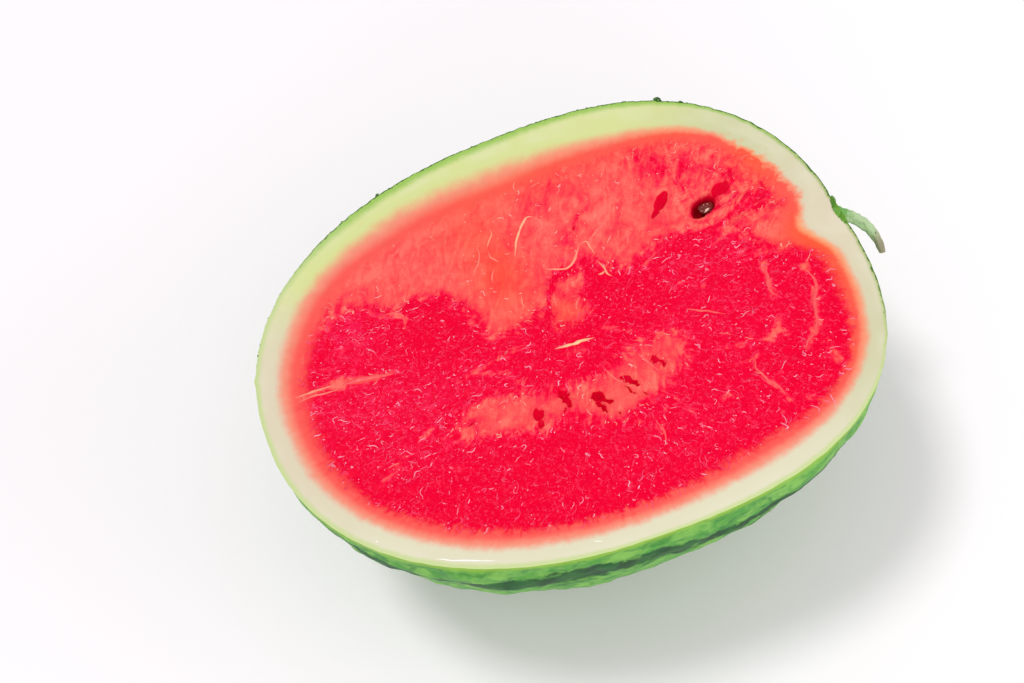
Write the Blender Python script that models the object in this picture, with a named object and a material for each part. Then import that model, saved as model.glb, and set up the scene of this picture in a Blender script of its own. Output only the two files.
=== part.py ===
"""Half of an oval watermelon, cut lengthwise and lying on its rind with the cut face up.

The frame's origin is the centre of the small flat spot that the half rests on. +X runs along the fruit
towards its stem end, +Z points out of the cut face, and all sizes are in metres.
"""

import math

import bmesh
import bpy
from mathutils import Matrix, Vector

# Driving dimensions of the fruit.
MELON_LENGTH = 0.254
HALF_WIDTH = 0.1035
HALF_DEPTH = 0.1105
REST_SPOT_DEPTH = 0.0010
MID_LENGTH_X = 0.0057

# The cut outline is a superellipse, blunter at the stem end than at the blossom end.
STEM_END_POWER = 2.60
BLOSSOM_END_POWER = 2.22
WIDTH_TAPER = 0.05

# Below the cut the section falls away a little more towards both ends.
DEPTH_TAPER = -0.06
DEPTH_DROOP = -0.18

LENGTH_STEPS = 56
RING_STEPS = 32

# Seed pockets in the flesh: centre x and y from mid-length, length, width, depth, turn in degrees.
SEED_POCKET = (0.0810, 0.0314, 0.0222, 0.0088, 0.0066, 25.0)
EMPTY_POCKETS = (
    (0.0603, 0.0385, 0.0150, 0.0044, 0.0026, 44.0),
    (-0.0230, -0.0366, 0.0052, 0.0042, 0.0030, 75.0),
    (-0.0107, -0.0336, 0.0068, 0.0044, 0.0034, 82.0),
    (0.0030, -0.0405, 0.0090, 0.0048, 0.0038, -62.0),
    (0.0162, -0.0375, 0.0080, 0.0044, 0.0034, -58.0),
    (0.0292, -0.0325, 0.0062, 0.0030, 0.0026, -50.0),
)

SEED_LENGTH = 0.0088
SEED_WIDTH = 0.0053
SEED_THICKNESS = 0.0025
SEED_FROM_POCKET = (-0.0030, 0.0, -0.0030)
SEED_TURN = 26.0
SEED_LEAN = 14.0

# The stem leaves the skin just under the rim and bends through one arc.
STEM_BASE_BELOW_CUT = 0.0045
STEM_BASE_Y = 0.0040
STEM_OUT = Vector((0.90, 0.08, -0.43))
STEM_BEND = Vector((-0.08, -0.93, -0.35))
STEM_ARC_RADIUS = 0.0168
STEM_ARC_DEGREES = 97.0
STEM_ROOT_RADIUS = 0.0038
STEM_MID_RADIUS = 0.0024
STEM_TIP_RADIUS = 0.0014
STEM_RINGS = 18
STEM_SIDES = 14
STEM_SUNK = 0.006

GAP = 0.0003
CUT_HEIGHT = HALF_DEPTH - REST_SPOT_DEPTH


def clear_scene():
    for thing in list(bpy.data.objects):
        bpy.data.objects.remove(thing)


def rounded(u, power):
    """Height of a unit superellipse at u, from -1 to 1."""
    return max(0.0, 1.0 - abs(u) ** power) ** (1.0 / power)


def half_width(u):
    """Half of the cut outline's width at u, which runs from -1, the blossom end, to 1, the stem end."""
    power = STEM_END_POWER if u > 0 else BLOSSOM_END_POWER
    return HALF_WIDTH * rounded(u, power) * (1 + WIDTH_TAPER * u)


def half_depth(u):
    """Depth of the rind below the cut at u."""
    return HALF_DEPTH * rounded(u, 2.0) * (1 + DEPTH_TAPER * u + DEPTH_DROOP * u * u)


def material(name, colour, roughness):
    made = bpy.data.materials.new(name)
    made.use_nodes = True
    shader = made.node_tree.nodes["Principled BSDF"]
    shader.inputs["Base Color"].default_value = (*colour, 1.0)
    shader.inputs["Roughness"].default_value = roughness
    shader.inputs["Metallic"].default_value = 0.0
    return made


def add_object(name, form, surface=None):
    """Turns a bmesh into an object with its faces pointing out, shaded smooth but for sharp edges."""
    bmesh.ops.recalc_face_normals(form, faces=form.faces)
    mesh = bpy.data.meshes.new(name)
    form.to_mesh(mesh)
    form.free()
    mesh.shade_smooth()
    mesh.set_sharp_from_angle(angle=math.radians(40))
    if surface:
        mesh.materials.append(surface)
    made = bpy.data.objects.new(name, mesh)
    bpy.context.scene.collection.objects.link(made)
    return made


def as_cutter(made):
    made.hide_render = True
    made.display_type = "WIRE"
    return made


def subtract(body, cutter):
    cut = body.modifiers.new("cut_" + cutter.name, "BOOLEAN")
    cut.operation = "DIFFERENCE"
    cut.solver = "EXACT"
    cut.object = cutter


def melon_form(grow=0.0, lid=0.0):
    """The half fruit as a bmesh: half rings hung from the cut outline, closed by the flat cut on top.

    grow moves the rind outwards, and lid lifts the top, for the cutter that clears the stem.
    """
    form = bmesh.new()
    half_length = MELON_LENGTH / 2 + grow
    top = CUT_HEIGHT + lid
    blossom_tip = form.verts.new((MID_LENGTH_X - half_length, 0.0, CUT_HEIGHT))
    stem_tip = form.verts.new((MID_LENGTH_X + half_length, 0.0, CUT_HEIGHT))
    rings = []
    for i in range(1, LENGTH_STEPS):
        u = -math.cos(math.pi * i / LENGTH_STEPS)
        width = half_width(u) + grow
        depth = half_depth(u) + grow
        ring = []
        for j in range(RING_STEPS + 1):
            turn = math.pi * j / RING_STEPS
            x = MID_LENGTH_X + half_length * u
            ring.append(form.verts.new((x, width * math.cos(turn), CUT_HEIGHT - depth * math.sin(turn))))
        rings.append(ring)
    for ring, following in zip(rings, rings[1:]):
        for j in range(RING_STEPS):
            form.faces.new((ring[j], following[j], following[j + 1], ring[j + 1]))
    for j in range(RING_STEPS):
        form.faces.new((blossom_tip, rings[0][j], rings[0][j + 1]))
        form.faces.new((stem_tip, rings[-1][j + 1], rings[-1][j]))
    rim = [blossom_tip] + [ring[0] for ring in rings] + [stem_tip] + [ring[-1] for ring in reversed(rings)]
    cut_face = form.faces.new(rim)
    if lid:
        wall = bmesh.ops.extrude_face_region(form, geom=[cut_face])
        lifted = [part for part in wall["geom"] if isinstance(part, bmesh.types.BMVert)]
        bmesh.ops.translate(form, verts=lifted, vec=(0.0, 0.0, top - CUT_HEIGHT))
        bmesh.ops.delete(form, geom=[cut_face], context="FACES_ONLY")
    return form


def flatten_rest_spot(form):
    """Slices the lowest millimetre off the rind, which leaves the flat spot at z = 0."""
    everything = form.verts[:] + form.edges[:] + form.faces[:]
    sliced = bmesh.ops.bisect_plane(
        form, geom=everything, plane_co=(0.0, 0.0, 0.0), plane_no=(0.0, 0.0, -1.0), clear_outer=True
    )
    loop = [part for part in sliced["geom_cut"] if isinstance(part, bmesh.types.BMEdge)]
    bmesh.ops.contextual_create(form, geom=loop)


def pocket_cutter(name, pocket):
    """An ellipsoid whose middle lies in the cut face, so that its lower half hollows out a seed pocket."""
    x, y, length, width, depth, turn = pocket
    form = bmesh.new()
    bmesh.ops.create_uvsphere(form, u_segments=16, v_segments=9, radius=1.0)
    placing = (
        Matrix.Translation((MID_LENGTH_X + x, y, CUT_HEIGHT))
        @ Matrix.Rotation(math.radians(turn), 4, "Z")
        @ Matrix.Diagonal((length / 2, width / 2, depth, 1.0))
    )
    bmesh.ops.transform(form, matrix=placing, verts=form.verts)
    return as_cutter(add_object(name, form))


def build_half_melon(flesh):
    form = melon_form()
    flatten_rest_spot(form)
    melon = add_object("half_melon", form, flesh)
    for number, pocket in enumerate((SEED_POCKET, *EMPTY_POCKETS), 1):
        subtract(melon, pocket_cutter(f"pocket_{number}", pocket))
    return melon


def build_seed(brown):
    """A flat oval seed, narrower at one end, lying in the longest pocket just under the cut face."""
    form = bmesh.new()
    bmesh.ops.create_uvsphere(form, u_segments=20, v_segments=12, radius=1.0)
    for vert in form.verts:
        narrowing = 1.0 - 0.28 * vert.co.x
        vert.co.y *= narrowing
        vert.co.z *= narrowing
    size = Matrix.Diagonal((SEED_LENGTH / 2, SEED_WIDTH / 2, SEED_THICKNESS / 2, 1.0))
    bmesh.ops.transform(form, matrix=size, verts=form.verts)
    seed = add_object("seed", form, brown)
    pocket_x, pocket_y, _, _, _, pocket_turn = SEED_POCKET
    shift = Matrix.Rotation(math.radians(pocket_turn), 3, "Z") @ Vector(SEED_FROM_POCKET)
    seed.location = Vector((MID_LENGTH_X + pocket_x, pocket_y, CUT_HEIGHT)) + shift
    seed.rotation_euler = (0.0, math.radians(SEED_LEAN), math.radians(SEED_TURN))
    return seed


def stem_radius(share):
    """Flared where it grew from the fruit, even along the middle, then shrunk towards the dry tip."""
    flare = (STEM_ROOT_RADIUS - STEM_MID_RADIUS) * math.exp(-share / 0.10)
    shrink = (STEM_MID_RADIUS - STEM_TIP_RADIUS) * (max(0.0, share - 0.45) / 0.55) ** 1.2
    return STEM_MID_RADIUS + flare - shrink


def build_stem(green):
    """A tapering tube along one arc, cut off flush against the skin by the fruit's own shape."""
    out = STEM_OUT.normalized()
    bend = (STEM_BEND - STEM_BEND.dot(out) * out).normalized()
    across = out.cross(bend)
    base = Vector((MID_LENGTH_X + MELON_LENGTH / 2 - 0.001, STEM_BASE_Y, CUT_HEIGHT - STEM_BASE_BELOW_CUT))
    form = bmesh.new()
    rings = []
    for i in range(-1, STEM_RINGS + 1):
        share = max(0.0, i / STEM_RINGS)
        angle = math.radians(STEM_ARC_DEGREES) * share
        centre = base + STEM_ARC_RADIUS * (math.sin(angle) * out + (1 - math.cos(angle)) * bend)
        if i < 0:
            centre = base - STEM_SUNK * out
        side = math.cos(angle) * bend - math.sin(angle) * out
        radius = stem_radius(share)
        ring = []
        for j in range(STEM_SIDES):
            turn = 2 * math.pi * j / STEM_SIDES
            ring.append(form.verts.new(centre + radius * (math.cos(turn) * side + math.sin(turn) * across)))
        rings.append(ring)
    for ring, following in zip(rings, rings[1:]):
        for j in range(STEM_SIDES):
            k = (j + 1) % STEM_SIDES
            form.faces.new((ring[j], ring[k], following[k], following[j]))
    form.faces.new(rings[0])
    form.faces.new(rings[-1])
    stem = add_object("stem", form, green)
    clearance = as_cutter(add_object("melon_clearance", melon_form(grow=GAP, lid=0.01)))
    subtract(stem, clearance)
    return stem


def main():
    clear_scene()
    flesh = material("red_flesh_and_green_rind", (0.82, 0.03, 0.06), 0.35)
    green = material("stem_green", (0.36, 0.46, 0.22), 0.6)
    brown = material("seed_brown", (0.12, 0.03, 0.02), 0.3)
    build_half_melon(flesh)
    build_stem(green)
    build_seed(brown)


main()
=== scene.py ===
import bpy
import numpy as np
from mathutils import Matrix, Vector


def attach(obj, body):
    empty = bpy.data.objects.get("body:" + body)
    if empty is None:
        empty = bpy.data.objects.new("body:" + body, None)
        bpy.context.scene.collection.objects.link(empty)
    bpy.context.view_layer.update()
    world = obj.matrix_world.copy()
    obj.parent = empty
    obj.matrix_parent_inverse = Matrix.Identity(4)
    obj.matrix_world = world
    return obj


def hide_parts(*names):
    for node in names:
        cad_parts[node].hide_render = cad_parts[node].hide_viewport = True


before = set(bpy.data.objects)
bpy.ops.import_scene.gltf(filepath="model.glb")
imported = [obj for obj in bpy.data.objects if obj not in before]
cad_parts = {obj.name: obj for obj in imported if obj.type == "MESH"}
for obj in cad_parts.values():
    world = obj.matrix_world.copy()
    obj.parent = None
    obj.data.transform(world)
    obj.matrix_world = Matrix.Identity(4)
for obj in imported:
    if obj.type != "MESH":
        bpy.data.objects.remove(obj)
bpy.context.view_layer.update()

mm = 0.001
melon = dict(
    length=254.0, halfWidth=103.5, halfDepth=110.5, restSpotDepth=1.0, midX=5.7,
    stemEndPower=2.60, blossomEndPower=2.22, widthTaper=0.05, depthTaper=-0.06, depthDroop=-0.18,
    gridLines=212, rimLines=(2.6, 1.5, 0.8, 0.3),
    # every 30 degrees, anticlockwise from the stem: the width of the pale rind, the width of the soft
    # peach edge between it and the flesh, the width over which the flesh then reddens, and the width of
    # the green under the skin
    paleRind=(7.0, 12.2, 15.0, 11.5, 9.5, 7.5, 6.5, 7.0, 5.8, 5.8, 7.4, 5.6),
    softEdge=(6.0, 4.6, 11.0, 16.0, 15.0, 11.0, 8.5, 7.0, 7.0, 6.2, 7.4, 5.8),
    reddening=(9.0, 5.0, 6.0, 8.0, 8.0, 8.0, 8.0, 5.0, 4.4, 4.0, 6.0, 4.2),
    greenEdge=(2.0, 2.8, 4.4, 5.2, 5.5, 3.0, 2.6, 2.4, 2.4, 1.6, 2.2, 1.6),
    stemNotch=dict(angle=1.2, spread=5.4, extra=8.2),
    # swells: height, wavelength and random seed
    skinSwells=((0.42, 34.0, 41), (0.16, 11.0, 42), (0.05, 4.5, 43)),
    rimSwells=((0.07, 9.0, 21), (0.10, 5.0, 22)),
    faceWarp=(0.03, 24.0, 31),
    # how far the face lies below the rim, over what width it rises to it, and where the marks begin
    faceDrop=0.25, rimRise=0.9, marksFrom=0.93,
)
halfLength = melon["length"] / 2
cutHeight = melon["halfDepth"] - melon["restSpotDepth"]


# maths for shapes

def easeBetween(value, low, high):
    # 0 below low, 1 above high, and a smooth step between
    share = np.clip((value - low) / (high - low), 0, 1)
    return share * share * (3 - 2 * share)


def ripple(points, wavelength, seed, waves=26):
    # an even random swell: the sum of sine waves with random directions, phases and nearby wavelengths
    rng = np.random.default_rng(seed)
    ways = rng.normal(size=(waves, points.shape[-1]))
    ways /= np.linalg.norm(ways, axis=1, keepdims=True)
    ways *= 2 * np.pi / wavelength * rng.uniform(0.65, 1.5, (waves, 1))
    phases = rng.uniform(0, 2 * np.pi, waves)
    total = np.zeros(points.shape[:-1])
    for way, phase in zip(ways, phases):
        total += np.sin(points @ way + phase)
    return total / np.sqrt(waves / 2)


def swell(points, height, wavelength, seed):
    # a ripple of this height
    return height * ripple(points, wavelength, seed)


def rounded(u, power):
    # height of a unit superellipse: one minus |u| to the power, and the root of that
    return np.clip(1 - np.abs(u) ** power, 0, None) ** (1 / power)


def halfWidthAt(u):
    # half the cut's width at u, from -1 at the blossom end to 1 at the stem end
    power = np.where(u > 0, melon["stemEndPower"], melon["blossomEndPower"])
    return melon["halfWidth"] * rounded(u, power) * (1 + melon["widthTaper"] * u)


def halfDepthAt(u):
    # depth of the rind under the cut at u
    fall = 1 + melon["depthTaper"] * u + melon["depthDroop"] * u * u
    return melon["halfDepth"] * rounded(u, 2.0) * fall


def rimTable(count=6001):
    # the cut outline as one walk round from the stem: place, polar angle, share of the way walked, and
    # the cosine between the outward normal and the ray from the middle
    turn = np.linspace(0, 2 * np.pi, count)
    u = np.cos(turn)
    place = np.stack([halfLength * u, np.sign(np.sin(turn)) * halfWidthAt(u)], 1)
    place[-1] = place[0]
    step = np.linalg.norm(np.diff(place, axis=0), axis=1)
    walked = np.concatenate([[0], np.cumsum(step)])
    along = np.gradient(place, axis=0)
    along /= np.linalg.norm(along, axis=1, keepdims=True)
    reach = np.linalg.norm(place, axis=1)
    square = np.abs(along[:, 1] * place[:, 0] - along[:, 0] * place[:, 1]) / reach
    angle = np.unwrap(np.arctan2(place[:, 1], place[:, 0]))
    return dict(place=place, share=walked / walked[-1], angle=angle, reach=reach, square=square)


rim = rimTable()


def roundTable(angle, values):
    # a value read from an even table round the circle, eased between its entries
    spot = (angle / (2 * np.pi) % 1) * len(values)
    low = np.floor(spot).astype(int)
    share = easeBetween(spot - low, 0, 1)
    values = np.asarray(values)
    return values[low % len(values)] * (1 - share) + values[(low + 1) % len(values)] * share


def rimDistance(x, y):
    # distance in from the rim: what is left of the ray, times its cosine to the rim's normal
    angle = np.arctan2(y, x) % (2 * np.pi)
    reach = np.interp(angle, rim["angle"], rim["reach"])
    square = np.interp(angle, rim["angle"], rim["square"])
    return (reach - np.hypot(x, y)) * square


def fleshDepth(x, y):
    # distance into the flesh from the inner side of the pale rind; negative inside the rind
    angle = np.arctan2(y, x)
    notch = melon["stemNotch"]
    off = (np.degrees(angle) - notch["angle"]) / notch["spread"]
    pale = roundTable(angle, melon["paleRind"]) + notch["extra"] * np.exp(-off * off)
    return rimDistance(x, y) - pale


def sideDistance(x, y, start, end):
    # distance to a straight side: to the nearest place between its two ends
    sideX, sideY = end[0] - start[0], end[1] - start[1]
    awayX, awayY = x - start[0], y - start[1]
    share = np.clip((awayX * sideX + awayY * sideY) / (sideX ** 2 + sideY ** 2), 0, 1)
    return np.hypot(awayX - share * sideX, awayY - share * sideY)


def zoneDepth(x, y, outline):
    # distance to a closed outline, positive inside: the least distance to its sides, with the sign
    # from how many sides a ray crosses
    nearest = np.full(x.shape, np.inf)
    inside = np.zeros(x.shape, bool)
    for start, end in zip(outline, outline[1:] + outline[:1]):
        nearest = np.minimum(nearest, sideDistance(x, y, start, end))
        if end[1] != start[1]:
            crossing = start[0] + (y - start[1]) / (end[1] - start[1]) * (end[0] - start[0])
            inside ^= ((start[1] > y) != (end[1] > y)) & (x < crossing)
    return np.where(inside, nearest, -nearest)


def patches(x, y, spots):
    # soft patches: the sum of bell shapes, each with its place, its two half sizes and its strength
    total = np.zeros(x.shape)
    for spotX, spotY, sizeX, sizeY, strength in spots:
        total += strength * np.exp(-((x - spotX) / sizeX) ** 2 - ((y - spotY) / sizeY) ** 2)
    return total


def strokes(x, y, lines):
    # soft brush strokes: each is its strength times a bell shape of the distance to its line of points,
    # and where strokes cross they add up
    total = np.zeros(x.shape)
    for width, strength, points in lines:
        away = np.full(x.shape, np.inf)
        for start, end in zip(points, points[1:]):
            away = np.minimum(away, sideDistance(x, y, start, end))
        total += strength * np.exp(-(away / width) ** 2)
    return total


# the cut face: what is where on it

flesh = dict(
    coral=[
        (-128, 20), (-112, 18), (-101, 22), (-93, 33), (-86, 38), (-76, 38), (-68, 37), (-62, 32),
        (-57, 33), (-52, 35), (-46, 30), (-41, 32), (-35, 24), (-31, 9), (-26, 2.5), (-14, 4.5),
        (-9, 5.5), (-6, 9), (-4, 1), (0, -4),
        (8, -3), (14, 4), (17, 14), (24, 21), (34, 14), (42, 13), (50, 18), (64, 18), (74, 17),
        (82, 12), (90, 4), (100, -6), (112, -9), (135, -12), (140, 60), (80, 110), (-20, 120),
        (-110, 90), (-140, 40),
    ],
    seedRow=[
        (-60, -31), (-52, -22), (-40, -18), (-30, -21), (-20, -25), (-8, -27), (2, -29), (10, -25),
        (20, -22), (32, -19), (44, -20), (46, -30), (40, -40), (28, -47), (16, -51), (6, -55),
        (-4, -50), (-12, -44), (-24, -46), (-34, -42), (-44, -38), (-54, -38),
    ],
    # paler and redder patches: place, half sizes, and how much nearer to pale they bring the flesh
    patches=[
        (-58, 60, 40, 16, 0.16), (-18, 72, 34, 14, 0.18), (-30, 34, 9, 9, 0.22), (-14, 15, 10, 9, 0.14),
        (-8, 47, 14, 12, 0.10), (28, 45, 14, 12, 0.14), (46, 50, 12, 14, 0.16),
        (-80, 42, 13, 6, -0.10), (-60, 47, 14, 8, 0.06),
        (-98, 36, 8, 14, -0.30), (-84, 44, 12, 8, -0.16), (-96, 18, 7, 8, 0.22),
        (-104, 5, 6, 7, 0.24), (-80, 28, 10, 8, 0.08),
        (70, 60, 22, 12, -0.14), (94, 36, 16, 16, -0.14), (100.6, 25, 5, 3.6, -0.7), (96, 22, 6, 3, -0.3),
        (108, 17, 5, 2.4, -0.5), (93, 11, 9, 3, -0.14), (67, 14, 9, 3.4, -0.45),
        (92, 5, 12, 8, 0.34), (21, 22, 4.5, 4, -0.3), (33, 14, 9, 7, 0.12),
        (22, 9, 5, 7, -0.35), (10, 22, 6, 3, -0.4), (18, 71, 9, 5, -0.16), (12, 59, 6, 6, -0.12),
        (-17, 44, 4, 4, -0.16), (-55.5, 34, 1.8, 2.2, -0.5), (-43, 32, 2, 2.2, -0.45),
        (-34, 26, 2, 3, -0.4), (68.7, 55.4, 2.6, 2.2, -0.4), (-65, 29, 8, 5, -0.12),
        (-48, 18, 8, 14, -0.12),
        (104, 1, 12, 6, 0.22), (1, -15, 5, 3.4, 0.42), (-24, -4, 16, 3, 0.22), (-84, 24, 9, 12, 0.10),
        (18, 2, 9, 5, 0.22), (88, -4, 12, 5, 0.24), (-48, -29, 3.4, 1.6, -0.4), (-39, -25, 2.4, 2, -0.3),
        (-36, -32, 12, 6, 0.14), (8, -46, 8, 6, 0.12), (96, -24, 14, 26, -0.10), (72, -42, 8, 3, 0.2),
        (28, 2, 40, 8, -0.06), (0, -70, 70, 16, -0.06),
    ],
    # where the flesh is full of fibres: place, half sizes, and how much fuller
    fibrous=[
        (-80, 34, 15, 15, 1.0), (-82, -4, 26, 16, 0.7), (-50, -12, 30, 10, 0.5), (-62, -32, 26, 12, 0.5),
        (70, 6, 24, 9, 0.5), (64, -24, 26, 22, 0.4), (30, -66, 40, 18, 0.3), (-10, 44, 14, 16, 0.35),
    ],
    # veins paler than the flesh round them, then darker strokes that are painted shade in the creases of
    # folds: half width, strength, points
    veins=[
        (1.9, 0.66, [(101, -16), (102, -26), (97, -34), (94, -43), (86, -51)]),
        (1.5, 0.50, [(92, -47), (93.5, -54), (94, -62)]), (1.2, 0.40, [(100, -17), (106, -13)]),
        (0.9, 0.60, [(64, -48), (63, -54), (67, -62), (69, -71)]),
        (0.9, 0.45, [(57, -47), (64, -48), (70, -46)]),
        (1.4, 0.34, [(69, -70), (62, -75)]), (1.2, 0.30, [(69, -71), (78, -73)]),
        (2.0, 0.46, [(82, -34), (79, -39), (74, -41)]), (1.0, 0.40, [(79, -39), (81, -43)]),
        (1.7, 0.62, [(87, -8), (85, -15), (84, -24)]), (0.9, 0.5, [(46, -60), (49, -58), (51, -61)]),
        (0.8, 0.40, [(49, -58), (50, -55)]), (1.0, 0.45, [(12, -55), (19, -62), (17, -71)]),
        (1.0, 0.40, [(25, -53), (19, -62)]), (2.8, 0.60, [(-92, 9.6), (-84, 9.0), (-78, 7.4)]),
        (1.5, 0.60, [(-108, 11), (-92, 10)]), (1.3, 0.5, [(-86, 8.6), (-70, 6)]),
        (0.9, -0.45, [(-106, 16.6), (-97, 17), (-88, 15.6)]),
        (0.9, 0.45, [(-47, -9), (-38, -7), (-20, -4.4)]), (1.2, 0.42, [(-90, -41), (-76, -32), (-64, -25)]),
        (1.0, 0.45, [(16, -9), (25, -15)]), (1.5, 0.40, [(70, 10), (82, 13.5)]),
        (1.2, 0.36, [(54, -38), (62, -40), (68, -37)]), (1.1, 0.4, [(28, -50), (33, -60), (36, -64)]),
        (1.3, 0.40, [(-40, -8), (-28, -13), (-24, -20)]), (1.1, 0.34, [(44, 2), (54, -3), (62, -9)]),
        (1.5, 0.24, [(27, 33), (33, 36), (41, 44)]),
        (1.0, 0.5, [(-66, 34), (-60, 33), (-57, 29), (-59, 25)]),
        (1.3, 0.20, [(2, 14), (4, 5)]), (1.3, 0.20, [(8, 1), (13, 9)]),
        (1.4, -0.66, [(-5, 1), (-2, 7), (1, 15), (6, 22), (14, 24)]),
        (1.6, -0.30, [(18, 34), (20, 40), (25, 46), (31, 50)]), (1.0, -0.4, [(88, 24), (84, 26)]),
        (1.2, -0.22, [(70, 36), (74, 42)]), (1.0, -0.3, [(82, 19), (92, 21), (98, 19)]),
        (0.8, -0.34, [(60, 21), (67, 17.4), (76, 17.6), (86, 21.4), (95, 26)]),
        (0.7, -0.34, [(80, 26), (87, 26.6), (92, 29.4)]), (0.7, -0.30, [(84, 40), (94, 43), (103, 41)]),
        (0.7, -0.28, [(96, 48), (101, 52), (104, 57)]), (0.8, -0.28, [(86, 45), (90, 51), (89, 57)]),
        (0.7, -0.30, [(70, 44), (74, 50), (80, 55)]), (0.7, 0.25, [(72, 24), (80, 22.6), (88, 24.6)]),
    ],
    orange=[
        (-14, 33, 12, 20, 0.75), (-20, 60, 16, 16, 0.35), (4, 4, 8, 8, 0.5), (112, -2, 14, 12, 1.0),
        (115, -28, 8, 28, 0.65), (108, 48, 12, 22, 0.8), (84, 76, 22, 12, 0.6), (20, 76, 40, 12, 0.4),
        (28, 14, 2.6, 5, 0.8), (104, -62, 14, 14, 0.4),
    ],
    wrinkles=[(94, 24, 22, 24, 1.0)],
    tornEdge=[(110, 40, 16, 30, 1.0)],
    stemSeat=[(127.0, 3.4, 3.0, 9.0, 1.1)],
    # soft steps at the zones' edges, from how far outside to how far inside, and how pale each zone is
    coralStep=(-5, 8), coralPale=0.73, rowStep=(-4.5, 7.5), rowPale=0.74,
    # relief: height, wavelength and random seed
    pebbles=(0.07, 5.5, 11), swells=(0.10, 12.0, 12), streaks=(0.10, 4.6, 15),
    ridges=(7.0, 16), ridgePatch=[(92, 22, 20, 22, 0.42)],
    # pockets: how round their walls are, and how ragged their edges in the seed row and above it
    pocketWall=0.7, rowRagged=0.34, upperRagged=0.12, ragGrain=3.8,
)

# Seed pockets: x, y, length, width, depth and turn in degrees.
pockets = [
    (76.6, 29.8, 14.5, 9.0, 6.4, 30.0),
    (86.8, 35.0, 9.5, 6.8, 1.3, 24.0),
    (61.4, 39.6, 12.4, 5.2, 1.5, 47.0),
    (57.0, 35.0, 7.6, 2.8, 1.0, 42.0),
    (-22.8, -36.0, 6.4, 5.0, 1.7, 78.0),
    (-23.4, -41.0, 3.6, 2.0, 0.9, 70.0),
    (-10.6, -32.2, 6.6, 4.8, 2.4, 96.0),
    (-9.9, -36.4, 4.6, 2.2, 2.0, 86.0),
    (-12.2, -38.8, 3.0, 1.5, 0.9, 60.0),
    (2.0, -38.0, 6.4, 4.8, 2.8, -62.0),
    (4.6, -41.4, 5.6, 2.0, 2.0, -52.0),
    (1.4, -43.0, 7.4, 2.1, 2.2, -66.0),
    (6.6, -48.0, 2.6, 1.4, 1.5, -66.0),
    (15.0, -35.2, 5.6, 3.8, 1.4, -40.0),
    (17.4, -38.0, 5.6, 2.2, 2.2, -56.0),
    (14.6, -40.8, 6.6, 1.3, 1.5, -60.0),
    (19.4, -44.6, 2.0, 1.2, 1.4, -66.0),
    (28.4, -31.4, 5.0, 3.4, 0.9, -30.0),
    (31.0, -34.4, 4.4, 1.6, 1.3, -62.0),
    (32.0, -41.0, 1.6, 1.0, 0.6, -20.0),
    (-48.4, -29.4, 3.8, 1.3, 0.9, 38.0),
    (-39.0, -24.6, 2.6, 1.2, 0.8, 60.0),
    (22.7, 42.4, 3.2, 1.2, 0.9, 58.0),
    (92.6, 40.6, 2.2, 0.9, 0.6, -30.0),
]
# Places that the mesh draws closer lines to: middle, half sizes and how much closer.
crowding = [(4, -39, 34, 13, 0.46), (72, 33, 22, 12, 0.46)]


def paleness(x, y):
    # how far the flesh is from deep crimson, 0, towards pale salmon, 1: the coral zone's and the seed
    # row's soft steps, then the patches, the veins and the painted shade of folds
    coral = easeBetween(zoneDepth(x, y, flesh["coral"]), *flesh["coralStep"])
    row = easeBetween(zoneDepth(x, y, flesh["seedRow"]), *flesh["rowStep"])
    value = flesh["coralPale"] * coral + flesh["rowPale"] * row * (1 - coral)
    return value + patches(x, y, flesh["patches"]) + strokes(x, y, flesh["veins"])


def ragged(x, y):
    # a place pushed about by small swells, most in the seed row, which makes a pocket's outline uneven
    place = np.stack([x, y], -1)
    amount = np.where(y < 0, flesh["rowRagged"], flesh["upperRagged"])
    pushX, pushY = (ripple(place, flesh["ragGrain"], seed) for seed in (13, 14))
    return x + amount * pushX, y + amount * pushY


def pocketSpans(x, y):
    # for each pocket in turn, how far out in its oval a place is, 1 on the edge, and the pocket's depth
    x, y = ragged(x, y)
    for middleX, middleY, length, width, depth, turn in pockets:
        turn = np.radians(turn)
        along = (x - middleX) * np.cos(turn) + (y - middleY) * np.sin(turn)
        across = (y - middleY) * np.cos(turn) - (x - middleX) * np.sin(turn)
        yield np.hypot(along / length * 2, across / width * 2), depth


def pocketHollow(x, y):
    # how deep the pockets are at a place: each a bowl with gently sloping walls, and the deepest counts
    deepest = np.zeros(x.shape)
    for span, depth in pocketSpans(x, y):
        deepest = np.maximum(deepest, depth * np.clip(1 - span ** 2, 0, 1) ** flesh["pocketWall"])
    return deepest


def pocketReach(x, y):
    # how far inside a pocket a place is: 1 at its middle, 0 on its edge, negative outside
    best = np.full(x.shape, -1.0)
    for span, depth in pocketSpans(x, y):
        best = np.maximum(best, 1 - span)
    return best


def faceHeight(x, y):
    # height of the cut face: flesh in shallow swells that run on a slant above and are wrinkled near the
    # seed, and the pockets' hollows
    place = np.stack([x, y], -1)
    inFlesh = easeBetween(fleshDepth(x, y), 0, 8)
    coral = easeBetween(zoneDepth(x, y, flesh["coral"]), -3, 8)
    slanted = np.stack([0.94 * x - 0.34 * y, 0.3 * (0.34 * x + 0.94 * y)], -1)
    wrinkled = np.stack([0.5 * (0.88 * x + 0.47 * y), 0.88 * y - 0.47 * x], -1)
    height = swell(place, *flesh["pebbles"]) + swell(place, *flesh["swells"])
    height += coral * swell(slanted, *flesh["streaks"])
    height += patches(x, y, flesh["ridgePatch"]) * ripple(wrinkled, *flesh["ridges"])
    return height * inFlesh - pocketHollow(x, y)


# mesh helpers

def toFrame(points):
    # from millimetres about the middle of the cut to metres in the fruit's frame
    return (points + (melon["midX"], 0, cutHeight)) * mm


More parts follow.
